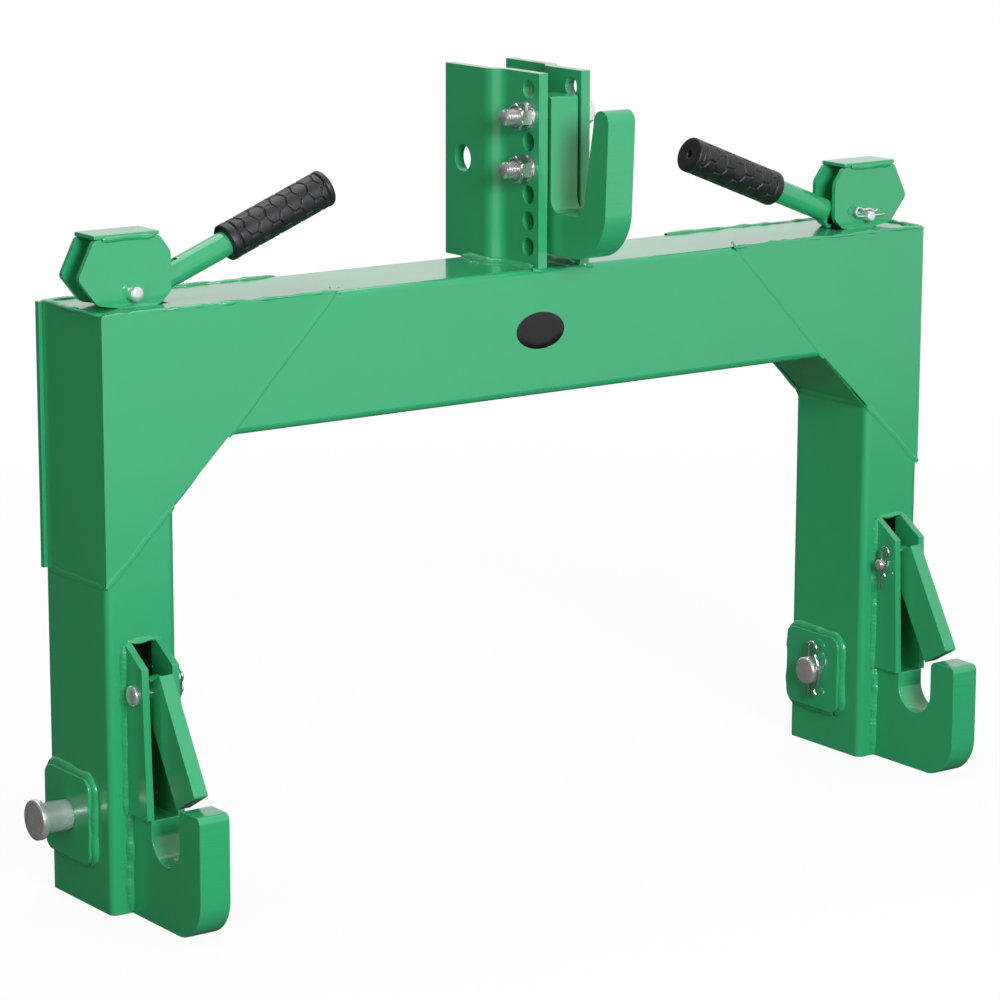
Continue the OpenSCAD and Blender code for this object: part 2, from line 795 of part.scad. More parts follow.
// Outline of the lever's plate, with its pivot at the origin and the bar to the left
module lever_plate_outline(tongue) {
    reach = bar_start + bar_slot;
    union() {
        circle(lever_boss_r);
        rotate(-lever_rise)
            translate([-reach, -bar_drop - tongue / 2]) square([bar_slot + 2, tongue]);
        polygon([turn([-bar_start, tongue / 2 - bar_drop]), turn([-bar_start, -bar_drop - tongue / 2]),
            [2 - bar_start, 0.2 - lever_boss_r], [0, 0.2 - lever_boss_r], [0, lever_boss_r - 0.2]]);
    }
}

// A point of the lever turned from level to its rest angle
function turn(p) = [p[0] * cos(lever_rise) + p[1] * sin(lever_rise),
    p[1] * cos(lever_rise) - p[0] * sin(lever_rise)];

module grip() {
    bar_end = grip_l - grip_cap;
    color("dimgray")
    along_lever() translate([-bar_drop, 0, grip_start])
        difference() {
            union() {
                cylinder(h = grip_l, d = grip_d);
                cylinder(h = grip_end_l, d = grip_end_d);
                translate([0, 0, grip_l - grip_end_l]) cylinder(h = grip_end_l, d = grip_end_d);
            }
            translate([0, 0, -1]) cylinder(h = bar_end + 1, d = bar_d);
            cylinder(h = grip_l + 1, d = grip_hole_d);
        }
}

// Pull rods
module pull_rod() {
    side_x = leg_x + latch_t / 2 + rod_d / 2 + 1.5;
    color("silver")
    wire(rounded([[leg_x - latch_t / 2 - rod_d, -tail_front, tail_z],
        [side_x, -tail_front, tail_z],
        [side_x, -tail_front, tail_z + rod_jog[0]],
        [leg_x, -rod_front, tail_z + rod_jog[1]],
        [leg_x, -rod_front, guide_z + rod_jog[1]],
        [rod_hole_x, rod_y, frame_h - rod_jog[0]],
        [rod_hole_x, rod_y, rod_hole_z],
        [rod_hole_x, bracket_y + lever_plate_t / 2 + rod_d, rod_hole_z]], rod_bend), rod_d);
}

module rod_guide() {
    color("seagreen")
    difference() {
        translate([leg_x, 0, guide_z]) linear_extrude(guide_t)
            round_rect(leg_w - 2 * tube_wall, tube_d - 2 * tube_wall, max(tube_r - tube_wall, 0.5));
        translate([leg_x, -rod_front, guide_z - 1]) cylinder(h = guide_t + 2, d = rod_d + 2 * loose);
    }
}

module spring_collar() {
    color("silver")
    translate([leg_x, -rod_front, guide_z - spring_l - collar_t])
        difference() {
            cylinder(h = collar_t, d = collar_d);
            translate([0, 0, -1]) cylinder(h = collar_t + 2, d = rod_d);
        }
}

// The return spring, a round wire along a helix
module return_spring() {
    r = (spring_d - spring_wire) / 2;
    rise = spring_l - spring_wire - 0.2;
    path = [for (a = [0 : 22.5 : 360 * spring_turns])
        [r * cos(a), r * sin(a), rise * a / (360 * spring_turns)]];
    color("gainsboro")
    translate([leg_x, -rod_front, guide_z - spring_l + spring_wire / 2 + 0.1])
        wire(path, spring_wire, 6);
}

module left_mast() { translate([0, mid_y, 0]) translate([mast_x, 0, 0]) mirror([1, 0, 0]) children(); }
module right_mast() { translate([0, mid_y, 0]) translate([mast_x, 0, 0]) children(); }

centre() beam_tube();
left() leg_tube();  // left_leg_tube
right() leg_tube();  // right_leg_tube
left() corner_front_plate();  // left_corner_front_plate
right() corner_front_plate();  // right_corner_front_plate
left() corner_rear_plate();  // left_corner_rear_plate
right() corner_rear_plate();  // right_corner_rear_plate
left() corner_top_plate();  // left_corner_top_plate
right() corner_top_plate();  // right_corner_top_plate
left() corner_side_plate();  // left_corner_side_plate
right() corner_side_plate();  // right_corner_side_plate
left() corner_inner_plate();  // left_corner_inner_plate
right() corner_inner_plate();  // right_corner_inner_plate
left_mast() mast_plate();  // left_mast_plate
right_mast() mast_plate();  // right_mast_plate
centre() top_hook();
centre() top_hook_bolts();
centre() top_hook_nuts();
centre() top_hook_washers();
left() lower_hook();  // left_lower_hook
right() lower_hook();  // right_lower_hook
left() latch_cheeks();  // left_latch_cheeks
right() latch_cheeks();  // right_latch_cheeks
left() latch();  // left_latch
right() latch();  // right_latch
left() latch_pin();  // left_latch_pin
right() latch_pin();  // right_latch_pin
left() latch_pin_clip();  // left_latch_pin_clip
right() latch_pin_clip();  // right_latch_pin_clip
left() pin_doublers();  // left_pin_doublers
right() pin_doublers();  // right_pin_doublers
left() link_pin();  // left_link_pin
right() link_pin();  // right_link_pin
left() link_pin_clip();  // left_link_pin_clip
right() link_pin_clip();  // right_link_pin_clip
left() bracket_front_plate();  // left_bracket_front_plate
right() bracket_front_plate();  // right_bracket_front_plate
left() bracket_rear_plate();  // left_bracket_rear_plate
right() bracket_rear_plate();  // right_bracket_rear_plate
left() bracket_top_plate();  // left_bracket_top_plate
right() bracket_top_plate();  // right_bracket_top_plate
left() lever_pin(1);  // left_lever_pin
right() lever_pin(-1);  // right_lever_pin
left() lever_pin_clip(1);  // left_lever_pin_clip
right() lever_pin_clip(-1);  // right_lever_pin_clip
left() lever_bar();  // left_lever_bar
right() lever_bar();  // right_lever_bar
left() lever_plate();  // left_lever_plate
right() lever_plate();  // right_lever_plate
left() grip();  // left_grip
right() grip();  // right_grip
left() pull_rod();  // left_pull_rod
right() pull_rod();  // right_pull_rod
left() return_spring();  // left_return_spring
right() return_spring();  // right_return_spring
left() spring_collar();  // left_spring_collar
right() spring_collar();  // right_spring_collar
left() rod_guide();  // left_rod_guide
right() rod_guide();  // right_rod_guide
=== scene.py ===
# Three-point quick hitch: finishes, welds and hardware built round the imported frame.
import json
import math

import bpy
import bmesh
import numpy as np
from mathutils import Matrix, Vector


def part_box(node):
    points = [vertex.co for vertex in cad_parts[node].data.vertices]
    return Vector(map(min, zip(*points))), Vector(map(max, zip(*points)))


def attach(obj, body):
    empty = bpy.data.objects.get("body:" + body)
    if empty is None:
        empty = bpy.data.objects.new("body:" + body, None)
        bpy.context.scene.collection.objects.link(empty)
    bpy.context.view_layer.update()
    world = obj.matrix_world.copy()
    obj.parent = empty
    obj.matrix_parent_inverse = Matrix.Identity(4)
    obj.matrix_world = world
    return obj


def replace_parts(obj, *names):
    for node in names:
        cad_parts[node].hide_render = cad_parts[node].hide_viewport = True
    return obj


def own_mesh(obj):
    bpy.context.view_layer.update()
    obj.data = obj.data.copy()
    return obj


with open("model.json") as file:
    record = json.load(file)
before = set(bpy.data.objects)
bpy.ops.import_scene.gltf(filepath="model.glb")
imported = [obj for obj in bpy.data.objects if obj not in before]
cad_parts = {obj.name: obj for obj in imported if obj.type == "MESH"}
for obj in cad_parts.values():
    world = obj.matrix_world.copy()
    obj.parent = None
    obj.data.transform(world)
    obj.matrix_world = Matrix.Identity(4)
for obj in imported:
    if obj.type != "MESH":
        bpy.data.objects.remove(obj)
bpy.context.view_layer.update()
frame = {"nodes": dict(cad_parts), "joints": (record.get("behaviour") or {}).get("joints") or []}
mm = 0.001
sides = {"left": -1, "right": 1}


# Low and high corner of a node's box, as arrays
def corners(nodeName):
    return [np.array(corner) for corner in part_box(nodeName)]


# Camera at the photograph's angle
camera = {"place": (-1.6447, -2.2201, 0.8529), "yaw": 35.964, "pitch": -12.347, "roll": 0.173, "lens": 138.36}


def addCamera():
    data = bpy.data.cameras.new("camera")
    data.lens = camera["lens"]
    data.sensor_width = 36
    data.clip_end = 50
    body = bpy.data.objects.new("camera", data)
    yaw, pitch, roll = (math.radians(camera[k]) for k in ("yaw", "pitch", "roll"))
    turn = Matrix.Rotation(-yaw, 4, "Z") @ Matrix.Rotation(math.pi / 2 + pitch, 4, "X")
    turn = turn @ Matrix.Rotation(roll, 4, "Z")
    body.matrix_world = Matrix.Translation(camera["place"]) @ turn
    bpy.context.collection.objects.link(body)
    bpy.context.scene.camera = body


addCamera()
print("camera placed")


# Shader nodes
def newGroup(name, inputs, outputs):
    group = bpy.data.node_groups.new(name, "ShaderNodeTree")
    for label, value in inputs.items():
        socket = group.interface.new_socket(label, in_out="INPUT", socket_type="NodeSocketFloat")
        socket.default_value = value
    for label in outputs:
        group.interface.new_socket(label, in_out="OUTPUT", socket_type="NodeSocketFloat")
    return group, group.nodes.new("NodeGroupInput"), group.nodes.new("NodeGroupOutput")


def addNode(tree, kind, settings=None, **values):
    node = tree.nodes.new(kind)
    for key, value in (settings or {}).items():
        setattr(node, key, value)
    for key, value in values.items():
        node.inputs[key.replace("_", " ")].default_value = value
    return node


def mathNode(tree, operation, a, b=None, clamp=False):
    node = tree.nodes.new("ShaderNodeMath")
    node.operation = operation
    node.use_clamp = clamp
    for socket, value in zip(node.inputs, (a, b)):
        if value is None:
            continue
        if isinstance(value, (int, float)):
            socket.default_value = value
        else:
            tree.links.new(value, socket)
    return node.outputs[0]


def noiseNode(tree, place, scale, detail):
    node = addNode(tree, "ShaderNodeTexNoise", Scale=scale, Detail=detail)
    tree.links.new(place, node.inputs["Vector"])
    return node.outputs["Fac"]


# Slow tone drift, orange peel and small runs of a sprayed and oven-cured coat
def coatGroup():
    tree, ins, outs = newGroup(
        "sprayedCoat", {"Drift": 0.06, "Peel": 0.3, "Gloss": 0.16}, ("Tone", "Roughness", "Height")
    )
    place = tree.nodes.new("ShaderNodeTexCoord").outputs["Object"]
    centred = mathNode(tree, "SUBTRACT", noiseNode(tree, place, 9.0, 3.0), 0.5)
    tone = mathNode(tree, "ADD", mathNode(tree, "MULTIPLY", centred, ins.outputs["Drift"]), 1.0)
    rough = mathNode(tree, "ADD", mathNode(tree, "MULTIPLY", centred, 0.12), ins.outputs["Gloss"], clamp=True)
    fine = mathNode(tree, "MULTIPLY", noiseNode(tree, place, 420.0, 1.0), ins.outputs["Peel"])
    height = mathNode(tree, "ADD", fine, noiseNode(tree, place, 38.0, 2.0))
    tree.links.new(tone, outs.inputs["Tone"])
    tree.links.new(rough, outs.inputs["Roughness"])
    tree.links.new(height, outs.inputs["Height"])
    return tree


# Lines that a cutting torch leaves across the edge faces of thick plate, which has its flat faces along X
def torchGroup():
    tree, ins, outs = newGroup("torchLines", {"Depth": 1.0}, ("Height",))
    place = tree.nodes.new("ShaderNodeTexCoord")
    squeeze = addNode(tree, "ShaderNodeMapping")
    squeeze.inputs["Scale"].default_value = (0.06, 1.0, 1.0)
    tree.links.new(place.outputs["Object"], squeeze.inputs["Vector"])
    lines = noiseNode(tree, squeeze.outputs["Vector"], 620.0, 2.0)
    coarse = noiseNode(tree, squeeze.outputs["Vector"], 190.0, 1.0)
    split = tree.nodes.new("ShaderNodeSeparateXYZ")
    tree.links.new(place.outputs["Normal"], split.inputs["Vector"])
    edge = mathNode(tree, "LESS_THAN", mathNode(tree, "ABSOLUTE", split.outputs["X"]), 0.5)
    masked = mathNode(tree, "MULTIPLY", mathNode(tree, "ADD", lines, coarse), edge)
    tree.links.new(mathNode(tree, "MULTIPLY", masked, ins.outputs["Depth"]), outs.inputs["Height"])
    return tree


coatTree = coatGroup()
torchTree = torchGroup()


def newMaterial(name):
    material = bpy.data.materials.new(name)
    material.use_nodes = True
    tree = material.node_tree
    return material, tree, tree.nodes["Principled BSDF"]


def useGroup(tree, group, **values):
    node = tree.nodes.new("ShaderNodeGroup")
    node.node_tree = group
    for key, value in values.items():
        node.inputs[key].default_value = value
    return node


def addBump(tree, shader, height, strength):
    bump = addNode(tree, "ShaderNodeBump", Strength=strength, Distance=0.001)
    tree.links.new(height, bump.inputs["Height"])
    tree.links.new(bump.outputs["Normal"], shader.inputs["Normal"])


# Roughness that follows a noise: the base, and the amount more where the noise is 1
def addUnevenGloss(tree, shader, noise, amount, base):
    rough = mathNode(tree, "ADD", mathNode(tree, "MULTIPLY", noise, amount), base, clamp=True)
    tree.links.new(rough, shader.inputs["Roughness"])


# One colour below the first level of a noise, the other above the second, and a blend between
def cloudedColor(tree, noise, levels, colors):
    ramp = tree.nodes.new("ShaderNodeValToRGB")
    for element, level, color in zip(ramp.color_ramp.elements, levels, colors):
        element.position = level
        element.color = (*color, 1)
    tree.links.new(noise, ramp.inputs["Fac"])
    return ramp.outputs["Color"]


# Green enamel
greenPaint = {"color": (0.028, 0.360, 0.138), "coat": 0.5, "peel": 0.22, "gloss": 0.2, "bump": 0.06}


def paintMaterial(name, torch=0.0, drift=0.10):
    material, tree, shader = newMaterial(name)
    coat = useGroup(tree, coatTree, Drift=drift, Peel=greenPaint["peel"], Gloss=greenPaint["gloss"])
    tint = addNode(tree, "ShaderNodeMix", {"data_type": "RGBA", "blend_type": "MULTIPLY"})
    tint.inputs["Factor"].default_value = 1.0
    tint.inputs[6].default_value = (*greenPaint["color"], 1)
    tree.links.new(coat.outputs["Tone"], tint.inputs[7])
    tree.links.new(tint.outputs[2], shader.inputs["Base Color"])
    tree.links.new(coat.outputs["Roughness"], shader.inputs["Roughness"])
    shader.inputs["Coat Weight"].default_value = greenPaint["coat"]
    shader.inputs["Coat Roughness"].default_value = 0.06
    height = coat.outputs["Height"]
    if torch:
        lines = useGroup(tree, torchTree, Depth=torch)
        height = mathNode(tree, "ADD", height, lines.outputs["Height"])
    addBump(tree, shader, height, greenPaint["bump"])
    return material


# Bright zinc plating on pins, bolts and clips. Painted shade darkens the roots of threads, which the piece's
# own attribute marks.
zincPlate = {"color": (0.86, 0.87, 0.86), "roughness": 0.24, "stain": 0.16}


def zincMaterial(name, metal, roughness=zincPlate["roughness"], rootShade=0.0):
    material, tree, shader = newMaterial(name)
    place = tree.nodes.new("ShaderNodeTexCoord").outputs["Object"]
    cloud = noiseNode(tree, place, 120.0, 4.0)
    stained = [channel * (1 - zincPlate["stain"]) for channel in zincPlate["color"]]
    color = cloudedColor(tree, cloud, (0.35, 0.65), (stained, zincPlate["color"]))
    # Painted shade: the colour is scaled down where the groove attribute marks the root of a thread
    if rootShade > 0:
        groove = addNode(tree, "ShaderNodeAttribute", {"attribute_name": "groove"})
        rootDarkening = mathNode(tree, "MULTIPLY", groove.outputs["Fac"], -rootShade)
        dimmed = addNode(tree, "ShaderNodeVectorMath", {"operation": "SCALE"})
        tree.links.new(color, dimmed.inputs[0])
        tree.links.new(mathNode(tree, "ADD", rootDarkening, 1.0), dimmed.inputs["Scale"])
        color = dimmed.outputs["Vector"]
    tree.links.new(color, shader.inputs["Base Color"])
    addUnevenGloss(tree, shader, cloud, 0.2, roughness - 0.1)
    shader.inputs["Metallic"].default_value = metal
    addBump(tree, shader, noiseNode(tree, place, 900.0, 2.0), 0.05)
    return material


# Black surfaces: the moulded rubber of the grips, and the oiled steel of rods and springs
blackFinish = {"color": (0.007, 0.007, 0.0075), "dust": 1.9, "roughness": 0.42}


def blackMaterial(name, metal=0.0):
    material, tree, shader = newMaterial(name)
    shader.inputs["Metallic"].default_value = metal
    place = tree.nodes.new("ShaderNodeTexCoord").outputs["Object"]
    dust = noiseNode(tree, place, 60.0, 4.0)
    dusty = [channel * blackFinish["dust"] for channel in blackFinish["color"]]
    color = cloudedColor(tree, dust, (0.4, 0.8), (blackFinish["color"], dusty))
    tree.links.new(color, shader.inputs["Base Color"])
    addUnevenGloss(tree, shader, dust, 0.16, blackFinish["roughness"] - 0.08)
    addBump(tree, shader, noiseNode(tree, place, 1500.0, 2.0), 0.12)
    return material


# Glossy black vinyl of the oval label
def labelMaterial(name):
    material, tree, shader = newMaterial(name)
    place = tree.nodes.new("ShaderNodeTexCoord").outputs["Object"]
    film = noiseNode(tree, place, 140.0, 2.0)
    shader.inputs["Base Color"].default_value = (0.003, 0.003, 0.0035, 1)
    addUnevenGloss(tree, shader, film, 0.08, 0.2)
    addBump(tree, shader, film, 0.03)
    return material


paint = paintMaterial("greenEnamel")
cutPaint = paintMaterial("greenEnamelOnCutPlate", torch=4.0)
weldPaint = paintMaterial("greenEnamelOnWeld", drift=0.25)
zinc = zincMaterial("zincPlate", 0.74)
wireZinc = zincMaterial("zincWire", 0.95, roughness=0.17)
# Zinc of the bolts, with painted shade in the roots of their threads
threadZinc = zincMaterial("zincThread", 0.8, roughness=0.2, rootShade=0.7)
blackSteel = blackMaterial("oiledBlackSteel", metal=0.8)
rubber = blackMaterial("gripRubber")
label = labelMaterial("labelFilm")

# Finish of the nodes that aren't painted plainly; the pieces further down bring their own
finishes = {"top_hook": cutPaint, "lower_hook": cutPaint, "latch": cutPaint, "grip": rubber,
            "link_pin": zinc, "latch_pin": zinc, "lever_pin": zinc,
            "link_pin_clip": zinc, "latch_pin_clip": zinc, "lever_pin_clip": zinc,
            "top_hook_bolts": wireZinc, "top_hook_nuts": wireZinc, "top_hook_washers": wireZinc,
            "pull_rod": blackSteel, "spring_collar": blackSteel, "return_spring": blackSteel}

for nodeName, obj in frame["nodes"].items():
    kind = nodeName.split("_", 1)[1] if nodeName.split("_")[0] in sides else nodeName
    obj.data.materials.clear()
    obj.data.materials.append(finishes.get(kind, paint))
print("materials set on", len(frame["nodes"]), "nodes")


# Quads of a rows by columns grid of points, joined up round the columns
def gridFaces(rows, columns):
    a, b = np.meshgrid(np.arange(rows - 1), np.arange(columns), indexing="ij")
    over = (b + 1) % columns
    row, below = a * columns, (a + 1) * columns
    return np.stack([row + b, row + over, below + over, below + b], -1).reshape(-1, 4)


def unit(vector):
    return vector / np.linalg.norm(vector)


# A profile of (along the axis, radius) pairs turned about an axis. radiusAt changes the radius over the
# surface.
def turned(profile, origin, axis, columns=64, radiusAt=None, up=(0, 0, 1)):
    profile = np.asarray(profile, float)
    angle = np.linspace(0, 2 * math.pi, columns, endpoint=False)
    axis = unit(np.asarray(axis, float))
    first = np.cross(np.asarray(up, float), axis)
    if np.linalg.norm(first) < 1e-6:
        first = np.cross((0, 1, 0), axis)
    first = unit(first)
    second = np.cross(axis, first)
    s, a = np.meshgrid(profile[:, 0], angle, indexing="ij")
    r = np.broadcast_to(profile[:, 1:2], s.shape)
    if radiusAt is not None:
        r = radiusAt(s, a, r)
    spread = np.cos(a)[..., None] * first + np.sin(a)[..., None] * second
    return np.asarray(origin, float) + s[..., None] * axis + r[..., None] * spread


# Rounds the corners of a profile: each inner corner becomes a quadratic curve that starts r before it and
# ends r after it, or nearly halfway along a shorter side
def eased(profile, r, steps=4):
    p = np.asarray(profile, float)
    corner = p[1:-1]

    def towards(neighbour):
        side = neighbour - corner
        return corner + side * np.minimum(r / np.linalg.norm(side, axis=1), 0.48)[:, None]

    before, after = towards(p[:-2]), towards(p[2:])
    t = np.linspace(0, 1, steps)[None, :, None]
    arcs = (1 - t) ** 2 * before[:, None] + 2 * t * (1 - t) * corner[:, None] + t**2 * after[:, None]
    return np.concatenate([p[:1], arcs.reshape(-1, p.shape[1]), p[-1:]])


# A round tube along a path that lies in a plane, whose normal is given, with a narrower ring beyond each end
def tube(path, radius, planeNormal, columns=12):
    path = np.asarray(path, float)
    along = np.gradient(path, axis=0)
    along /= np.linalg.norm(along, axis=1)[:, None]
    normal = np.broadcast_to(np.asarray(planeNormal, float), along.shape)
    side = np.cross(along, normal)
    angle = np.linspace(0, 2 * math.pi, columns, endpoint=False)[None, :, None]
    body = path[:, None] + radius * (np.cos(angle) * side[:, None] + np.sin(angle) * normal[:, None])
    lead = path[:1, None] + (body[:1] - path[:1, None]) * 0.6 - along[:1, None] * radius * 0.5
    tail = path[-1:, None] + (body[-1:] - path[-1:, None]) * 0.6 + along[-1:, None] * radius * 0.5
    return np.concatenate([lead, body, tail])


def faceOutwards(mesh):
    work = bmesh.new()
    work.from_mesh(mesh)
    bmesh.ops.remove_doubles(work, verts=work.verts, dist=1e-6)
    bmesh.ops.recalc_face_normals(work, faces=work.faces)
    work.to_mesh(mesh)
    work.free()


# Points and faces become a piece that rides on a body
def addPiece(name, points, faces, material, body, sharp):
    mesh = bpy.data.meshes.new(name)
    mesh.from_pydata(points.tolist(), [], faces)
    mesh.materials.append(material)
    faceOutwards(mesh)
    mesh.shade_smooth()
    mesh.set_sharp_from_angle(angle=math.radians(sharp))
    obj = bpy.data.objects.new(name, mesh)
    bpy.context.collection.objects.link(obj)
    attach(obj, body)
    return obj


# A grid of points as a tube, with one flat face at each end
def addTube(name, points, material, body):
    rows, columns = points.shape[:2]
    faces = gridFaces(rows, columns).tolist()
    faces.append(list(range(columns - 1, -1, -1)))
    faces.append(list(range((rows - 1) * columns, rows * columns)))
    return addPiece(name, points.reshape(-1, 3), faces, material, body, 50)


# Several grids of points become one piece
def joinGrids(name, grids, material, body, sharp=30.0):
    points, faces, base = [], [], 0
    for grid in grids:
        rows, columns = grid.shape[:2]
        points.append(grid.reshape(-1, 3))
        faces.append(gridFaces(rows, columns) + base)
        base += rows * columns
    quads = np.concatenate(faces).tolist()
    return addPiece(name, np.concatenate(points), quads, material, body, sharp)


# Plates with the small radius that blasting and paint leave on a cut edge
softEdge = {"width": 0.7 * mm, "segments": 2, "angle": 32}


def softened(nodeName, material, body):
    mesh = frame["nodes"][nodeName].data.copy()
    work = bmesh.new()
    work.from_mesh(mesh)
    bmesh.ops.remove_doubles(work, verts=work.verts, dist=2e-6)
    bmesh.ops.dissolve_limit(
        work, angle_limit=math.radians(0.6), verts=work.verts, edges=work.edges, delimit={"SHARP"}
    )
    work.to_mesh(mesh)
    work.free()
    mesh.materials.clear()
    mesh.materials.append(material)
    mesh.shade_smooth()
    mesh.set_sharp_from_angle(angle=math.radians(softEdge["angle"]))
    obj = bpy.data.objects.new(nodeName + "_soft", mesh)
    bpy.context.collection.objects.link(obj)
    bevel = obj.modifiers.new("edges", "BEVEL")
    bevel.width = softEdge["width"]
    bevel.segments = softEdge["segments"]
    bevel.limit_method = "ANGLE"
    bevel.angle_limit = math.radians(softEdge["angle"])
    bevel.harden_normals = True
    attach(obj, body)
    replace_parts(obj, nodeName)


softened("top_hook", cutPaint, "frame")
for side in sides:
    softened(side + "_mast_plate", paint, "frame")
    softened(side + "_lower_hook", cutPaint, "frame")
    softened(side + "_latch_cheeks", paint, "frame")
    softened(side + "_latch", cutPaint, side + "_latch")
    softened(side + "_pin_doublers", paint, "frame")
    softened(side + "_lever_plate", paint, side + "_lever")
    for part in ("front", "rear", "top"):
        softened(f"{side}_bracket_{part}_plate", paint, "frame")
print("plate edges softened")


# Bolts, nuts and washers of the top hook
bolt = {"flats": 19 * mm, "shank": 12 * mm, "head": 7.5 * mm, "headChamfer": 1.2 * mm, "tip": 1.2 * mm,
        "tipNear": 4.6 * mm, "tipFar": 4.2 * mm, "pitch": 2.1 * mm, "depth": 1.4 * mm, "threaded": 35 * mm,
        "rows": 260}
nut = {"flats": 17.5 * mm, "chamfer": 1.1 * mm, "mouth": 0.8 * mm}
washer = {"thick": 2.5 * mm, "across": 21 * mm}


# Radius of a hexagon at an angle, cut down to the chamfer's radius of each row
def hexRadius(flats):
    def radiusAt(s, a, r):
        turn = np.mod(a + math.pi / 6, math.pi / 3) - math.pi / 6
        return np.minimum(r, flats / 2 / np.cos(turn))
    return radiusAt


# Radius of a screw thread: a blunted triangle wave that climbs one pitch per turn, along the threaded stretch
def threadRadius(start, end):
    def radiusAt(s, a, r):
        wave = np.abs(np.mod(s / bolt["pitch"] - a / (2 * math.pi), 1) * 2 - 1)
        fade = np.clip((s - start) / bolt["pitch"], 0, 1) * np.clip((end - s) / (0.6 * bolt["pitch"]), 0, 1)
        return r - bolt["depth"] * fade * np.clip(wave * 1.25 - 0.12, 0, 1) * (r > bolt["shank"] * 0.3)
    return radiusAt


# One bolt from its head's outer face inwards: the chamfered hexagon, and the shank with its thread
def boltGrids(high, tipX, y, z):
    reach, corner, depth = bolt["flats"] / 2, bolt["flats"] / math.sqrt(3), bolt["head"]
    head = [(0, 0), (0, reach * 0.93), (-bolt["headChamfer"], corner), (-depth, corner), (-depth, 0)]
    start = high - depth
    length = start - tipX
    rows = np.linspace(0, length - bolt["tip"], bolt["rows"])
    shank = np.stack([rows, np.full_like(rows, bolt["shank"] / 2)], 1)
    end = [(length - 0.1 * mm, bolt["tipNear"]), (length, bolt["tipFar"]), (length, 0)]
    thread = threadRadius(length - bolt["threaded"], length)
    return [turned(eased(head, 0.3 * mm), (high, y, z), (1, 0, 0), 96, hexRadius(bolt["flats"])),
            turned(np.concatenate([shank, end]), (start, y, z), (-1, 0, 0), 72, thread)]


def nutGrid(high, wide, y, z):
    hole, rim, tip = bolt["shank"] / 2, nut["flats"] / 2 * 0.98, nut["flats"] / math.sqrt(3)
    ring = [(0, hole), (0, rim), (nut["chamfer"], tip), (wide - nut["chamfer"], tip), (wide, rim),
            (wide, hole + nut["mouth"]), (wide - nut["mouth"], hole)]
    return turned(eased(ring, 0.25 * mm), (high, y, z), (-1, 0, 0), 96, hexRadius(nut["flats"]))


def washerGrid(high, y, z):
    hole, edge, thick = bolt["shank"] / 2, washer["across"] / 2, washer["thick"]
    disc = eased([(0, hole), (0, edge), (thick, edge), (thick, hole)], 0.35 * mm)
    return turned(disc, (high, y, z), (-1, 0, 0), 64)


# How much painted shade each point of the threads gets: its depth squared, from 0 on the shank's own radius
# to 1 at the root
def markGrooves(obj, boltX, y, z, spread):
    points = np.array([vertex.co for vertex in obj.data.vertices])
    out = np.hypot(points[:, 1] - y, np.abs(points[:, 2] - z) - spread)
    depth = np.clip((bolt["shank"] / 2 - out) / bolt["depth"], 0, 1)
    threaded = (out > bolt["shank"] * 0.35) & (points[:, 0] > boltX + bolt["tip"])
    groove = obj.data.attributes.new("groove", "FLOAT", "POINT")
    groove.data.foreach_set("value", (depth ** 2 * threaded).astype(np.float32))


def addHardware():
    low, high = corners("top_hook_bolts")
    nutLow, nutHigh = corners("top_hook_nuts")
    washHigh = corners("top_hook_washers")[1]
    middle = (low + high) / 2
    spread = (high[2] - low[2]) / 2 - bolt["flats"] / math.sqrt(3)
    bolts, nuts, rings = [], [], []
    for z in (middle[2] - spread, middle[2] + spread):
        bolts += boltGrids(high[0], low[0], middle[1], z)
        nuts.append(nutGrid(nutHigh[0], nutHigh[0] - nutLow[0], middle[1], z))
        rings.append(washerGrid(washHigh[0], middle[1], z))
    hexBolts = joinGrids("hex_bolts", bolts, threadZinc, "frame")
    markGrooves(hexBolts, low[0], middle[1], middle[2], spread)
    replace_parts(hexBolts, "top_hook_bolts")
    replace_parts(joinGrids("hex_nuts", nuts, wireZinc, "frame"), "top_hook_nuts")
    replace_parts(joinGrids("flat_washers", rings, wireZinc, "frame"), "top_hook_washers")


addHardware()
print("bolts, nuts and washers made")


# Headed pins, turned about the X axis or the Y axis, and the spring clips through their far ends
pins = {
    "link_pin": {"axis": 0, "shank": 22 * mm, "head": 29 * mm, "thick": 5 * mm,
                 "rim": 1.2 * mm, "dome": 0.8 * mm},
    "latch_pin": {"axis": 0, "shank": 8 * mm, "head": 14.5 * mm, "thick": 3 * mm,
                 "rim": 0.8 * mm, "dome": 1.1 * mm},
    "lever_pin": {"axis": 1, "shank": 8 * mm, "head": 10.5 * mm, "thick": 7.5 * mm,
                 "rim": 0.8 * mm, "dome": 1.2 * mm},
}
clips = {
    "link_pin": {"wire": 3 * mm, "leg": 22 * mm, "eye": 5 * mm},
    "latch_pin": {"wire": 2.2 * mm, "leg": 20 * mm, "eye": 4 * mm},
    "lever_pin": {"wire": 2 * mm, "leg": 16 * mm, "eye": 3.5 * mm},
}


def addPin(name, size, headAtHigh, body):
    low, high = corners(name)
    way = size["axis"]
    length = high[way] - low[way]
    axis = np.zeros(3)
    axis[way] = 1.0 if headAtHigh else -1.0
    start = (low + high) / 2
    start[way] = low[way] if headAtHigh else high[way]
    shank, head, dome, rim = size["shank"] / 2, size["head"] / 2, size["dome"], size["rim"]
    neck = length - size["thick"]
    profile = [(0, 0), (0, shank - rim), (rim, shank), (neck, shank), (neck, head), (length - dome, head),
               (length - dome * 0.25, head - dome * 1.2), (length, head * 0.4), (length, 0)]
    grid = turned(eased(profile, 0.5 * mm), start, axis, 72)
    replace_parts(joinGrids(name + "_turned", [grid], zinc, body), name)


